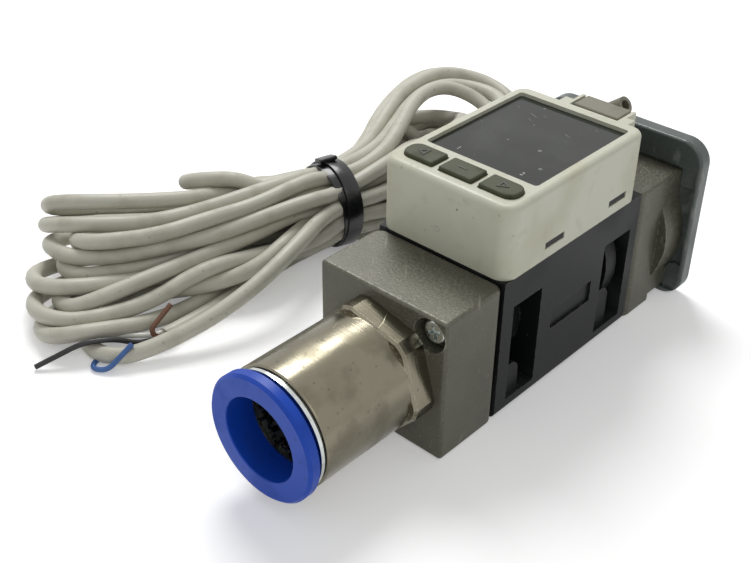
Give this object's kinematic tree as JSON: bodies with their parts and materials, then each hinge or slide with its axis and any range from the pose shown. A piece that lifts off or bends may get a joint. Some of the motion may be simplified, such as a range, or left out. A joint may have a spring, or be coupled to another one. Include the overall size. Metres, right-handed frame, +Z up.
{
  "type": "digital flow switch",
  "caption": "Compact digital flow switch for air, with a display head, a push-in tube fitting, an adapter plate and a tied lead",
  "frame": {"origin": "on the floor under the middle of the switch, lead left out", "axes": "Z up out of the display, Y along the air flow from the fitting to the adapter plate, X across it"},
  "size_m": [0.1131, 0.1474, 0.0468],
  "materials": {
    "die_cast_metal": "fine sparkling die-cast, warm grey",
    "painted_casting": "satin dark green-grey paint",
    "nickel_plate": "turned and nickel plated, warm",
    "screw_steel": "plated steel",
    "contact_brass": "plain brass",
    "black_moulding": "fine matt black",
    "ivory_moulding": "matt ivory, lightly soiled",
    "white_moulding": "matt white",
    "key_moulding": "satin brown-grey",
    "key_rubber": "silicone rubber",
    "blue_moulding": "satin blue",
    "plug_moulding": "matt grey-beige",
    "smoked_window": "smoked clear window, glossy",
    "circuit_board": "green solder mask",
    "seal_rubber": "black nitrile rubber",
    "lead_jacket": "matt grey-beige vinyl",
    "tie_plastic": "smooth black vinyl",
    "core_white": "white core insulation",
    "core_brown": "brown core insulation",
    "core_black": "black core insulation",
    "core_blue": "blue core insulation"
  },
  "bodies": {
    "switch": {"inlet_block": "die_cast_metal", "outlet_block": "die_cast_metal", "flow_body": "black_moulding", "inlet_screws": "screw_steel", "outlet_screws": "screw_steel", "adapter_screws": "screw_steel", "inlet_seal": "seal_rubber", "outlet_seal": "seal_rubber", "neck_seal": "seal_rubber", "adapter_seal": "seal_rubber", "flow_screens": "screw_steel", "screen_spacers": "black_moulding", "sensor_gasket": "seal_rubber", "flow_sensor": "circuit_board", "display_case": "ivory_moulding", "display_glass": "smoked_window", "lcd_panel": "smoked_window", "light_guide": "white_moulding", "main_board": "circuit_board", "key_mat": "key_rubber", "socket_housing": "white_moulding", "socket_pins": "contact_brass", "plug": "plug_moulding", "fitting_body": "nickel_plate", "guide_ring": "nickel_plate", "tube_chuck": "contact_brass", "tube_seal": "seal_rubber", "adapter_plate": "painted_casting", "lead_cable": "lead_jacket", "lead_tail": "lead_jacket", "lead_hank": "lead_jacket", "hank_tie": "tie_plastic", "core_white": "core_white", "core_brown": "core_brown", "core_black": "core_black", "core_blue": "core_blue"},
    "key_left": {"button_left": "key_moulding"},
    "key_centre": {"button_centre": "key_moulding"},
    "key_right": {"button_right": "key_moulding"},
    "collar": {"release_collar": "blue_moulding"}
  },
  "joints": [
    {"name": "press_left", "type": "slide", "parent": "switch", "child": "key_left", "axis": [0, 0, -1], "range_m": [0, 0.0004], "stiffness_N_per_m": 400},
    {"name": "press_centre", "type": "slide", "parent": "switch", "child": "key_centre", "axis": [0, 0, -1], "range_m": [0, 0.0004], "stiffness_N_per_m": 400},
    {"name": "press_right", "type": "slide", "parent": "switch", "child": "key_right", "axis": [0, 0, -1], "range_m": [0, 0.0004], "stiffness_N_per_m": 400},
    {"name": "release", "type": "slide", "parent": "switch", "child": "collar", "axis": [0, 1, 0], "range_m": [0, 0.001], "stiffness_N_per_m": 800}
  ]
}
